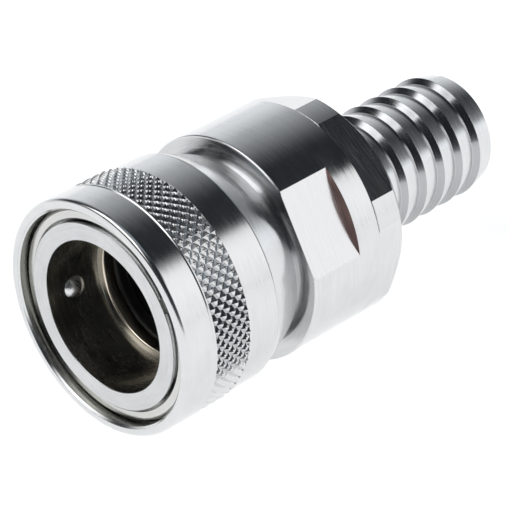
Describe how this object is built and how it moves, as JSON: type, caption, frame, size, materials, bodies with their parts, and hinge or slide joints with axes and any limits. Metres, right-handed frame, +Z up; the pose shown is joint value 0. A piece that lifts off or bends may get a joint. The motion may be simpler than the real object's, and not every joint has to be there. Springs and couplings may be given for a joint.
{
  "type": "quick-release hose coupling",
  "caption": "Chrome-plated ball-lock quick-release coupling socket with a knurled pull-back sleeve, spanner flats, a hexagon and a barbed hose tail.",
  "frame": {"origin": "on the axis, in the plane of the sleeve's front rim, at the mouth", "axes": "+X along the axis from the mouth to the hose tail, +Z up"},
  "size_m": [0.0814, 0.04, 0.04],
  "materials": {
    "sleeve_chrome": "chrome plate over turned and knurled metal",
    "body_chrome": "chrome plate over turned and milled metal",
    "tail_chrome": "chrome plate over turned and milled metal",
    "ring_steel": "bright spring steel",
    "spring_steel": "drawn stainless wire",
    "ball_steel": "polished hardened steel",
    "seal_rubber": "moulded, satin",
    "valve_brass": "turned, unplated",
    "dark_plastic": "moulded, matte"
  },
  "bodies": {
    "body": {"socket_body": "body_chrome", "hose_tail": "tail_chrome", "retaining_ring": "ring_steel", "spring_stop_ring": "ring_steel", "guide_circlip": "ring_steel", "valve_guide": "valve_brass", "bore_seal": "seal_rubber", "bore_backup_ring": "dark_plastic", "tail_o_ring": "seal_rubber", "sleeve_spring": "spring_steel", "valve_spring": "spring_steel"},
    "sleeve": {"knurled_sleeve": "sleeve_chrome", "sleeve_collar": "sleeve_chrome", "sleeve_wiper": "seal_rubber"},
    "ball_1": {"locking_ball_1": "ball_steel"},
    "ball_2": {"locking_ball_2": "ball_steel"},
    "ball_3": {"locking_ball_3": "ball_steel"},
    "poppet": {"valve_poppet": "valve_brass", "poppet_seal": "seal_rubber", "poppet_nose": "dark_plastic"}
  },
  "joints": [
    {"name": "sleeve_slide", "type": "slide", "parent": "body", "child": "sleeve", "axis": [1, 0, 0], "range_m": [0, 0.00125], "stiffness_N_per_m": 2000, "springref_m": -0.004, "deforming": ["sleeve_spring"]},
    {"name": "poppet_slide", "type": "slide", "parent": "body", "child": "poppet", "axis": [1, 0, 0], "range_m": [0, 0.004], "stiffness_N_per_m": 1200, "springref_m": -0.004, "deforming": ["valve_spring"]},
    {"name": "ball_1_slide", "type": "slide", "parent": "body", "child": "ball_1", "axis": [0, 0.9781, -0.2079], "range_m": [0, 0.00095]},
    {"name": "ball_2_slide", "type": "slide", "parent": "body", "child": "ball_2", "axis": [0, -0.309, 0.9511], "range_m": [0, 0.00095]},
    {"name": "ball_3_slide", "type": "slide", "parent": "body", "child": "ball_3", "axis": [0, -0.6691, -0.7431], "range_m": [0, 0.00095]}
  ],
  "couplings": [
    {"joint": "ball_1_slide", "follows": "sleeve_slide", "ratio": 0.76},
    {"joint": "ball_2_slide", "follows": "sleeve_slide", "ratio": 0.76},
    {"joint": "ball_3_slide", "follows": "sleeve_slide", "ratio": 0.76}
  ]
}
